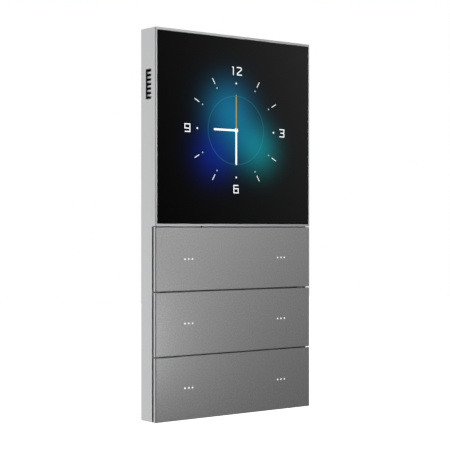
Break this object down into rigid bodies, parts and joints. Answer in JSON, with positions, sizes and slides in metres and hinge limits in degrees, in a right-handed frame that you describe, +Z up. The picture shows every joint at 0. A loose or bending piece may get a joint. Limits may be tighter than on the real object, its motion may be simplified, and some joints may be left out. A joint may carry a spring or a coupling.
{
  "type": "wall-mounted touch panel",
  "caption": "Slim wall-mounted control panel: a square glass touch display above full-width rocker keys with dot legends, in an aluminium housing with a side vent.",
  "frame": {"origin": "centre of the face that lies on the wall, midway up and across the housing", "axes": "+Z up, -Y out of the display towards the user, +X to the right seen from the front"},
  "size_m": [0.086, 0.0305, 0.165],
  "materials": {
    "housing_aluminium": "fine bead-blasted, clear anodised",
    "key_aluminium": "satin grey, fine grain",
    "front_glass": "black printed cover glass, polished",
    "screen": "liquid-crystal display and its layers",
    "chassis_plastic": "moulded, fine texture",
    "cover_plastic": "moulded, fine texture",
    "black_plastic": "moulded",
    "red_plastic": "moulded",
    "light_guide": "milky, lit from behind",
    "silicone": "translucent grey silicone",
    "foam": "adhesive foam",
    "bracket_steel": "zinc-plated sheet",
    "screw_steel": "zinc-plated",
    "tinned_sheet": "tin-plated sheet",
    "circuit_board": "glass-fibre laminate with solder mask",
    "chip": "moulded epoxy",
    "flat_lead": "polyimide over copper",
    "capacitor_can": "drawn can",
    "lamp": "surface-mounted lamp"
  },
  "bodies": {
    "panel": {"housing": "housing_aluminium", "vent_duct": "black_plastic", "vent_grille": "housing_aluminium", "sensor_board": "circuit_board", "temperature_sensor": "chip", "sensor_flex": "flat_lead", "glass_lens": "front_glass", "lens_gasket": "foam", "touch_sensor": "screen", "lcd_panel": "screen", "backlight_unit": "light_guide", "lcd_bezel": "tinned_sheet", "lcd_flex": "flat_lead", "touch_flex": "flat_lead", "mid_frame": "chassis_plastic", "chassis_screws": "screw_steel", "main_board": "circuit_board", "board_chips": "chip", "processor_shield": "tinned_sheet", "flex_connectors": "black_plastic", "board_link": "flat_lead", "board_screws": "screw_steel", "key_board": "circuit_board", "key_leds": "lamp", "reset_switch": "chip", "rear_cover": "cover_plastic", "rear_cover_screws": "screw_steel", "power_case": "cover_plastic", "power_board": "circuit_board", "power_inductor": "chip", "power_capacitors": "capacitor_can", "link_socket": "black_plastic", "link_header": "black_plastic", "bus_pins": "tinned_sheet", "bus_terminal_plus": "red_plastic", "bus_terminal_minus": "black_plastic", "wall_bracket": "bracket_steel", "lock_screw": "screw_steel", "key_1_pivot_pin": "screw_steel", "key_1_domes": "silicone", "key_2_pivot_pin": "screw_steel", "key_2_domes": "silicone", "key_3_pivot_pin": "screw_steel", "key_3_domes": "silicone"},
    "key_1": {"key_1_cap": "key_aluminium", "key_1_carrier": "chassis_plastic", "key_1_light_guides": "light_guide"},
    "key_2": {"key_2_cap": "key_aluminium", "key_2_carrier": "chassis_plastic", "key_2_light_guides": "light_guide"},
    "key_3": {"key_3_cap": "key_aluminium", "key_3_carrier": "chassis_plastic", "key_3_light_guides": "light_guide"},
    "reset_button": {"reset_plunger": "black_plastic"}
  },
  "joints": [
    {"name": "key_1_rock", "type": "hinge", "parent": "panel", "child": "key_1", "pos_m": [0, -0.0064, -0.01448], "axis": [0, 0, 1], "range_deg": [-0.8, 0.8], "stiffness_Nm_per_rad": 5, "deforming": ["key_1_domes"]},
    {"name": "key_2_rock", "type": "hinge", "parent": "panel", "child": "key_2", "pos_m": [0, -0.0064, -0.04177], "axis": [0, 0, 1], "range_deg": [-0.8, 0.8], "stiffness_Nm_per_rad": 5, "deforming": ["key_2_domes"]},
    {"name": "key_3_rock", "type": "hinge", "parent": "panel", "child": "key_3", "pos_m": [0, -0.0064, -0.06907], "axis": [0, 0, 1], "range_deg": [-0.8, 0.8], "stiffness_Nm_per_rad": 5, "deforming": ["key_3_domes"]},
    {"name": "reset_press", "type": "slide", "parent": "panel", "child": "reset_button", "axis": [0, 1, 0], "range_m": [0, 0.00025], "stiffness_N_per_m": 4000}
  ]
}
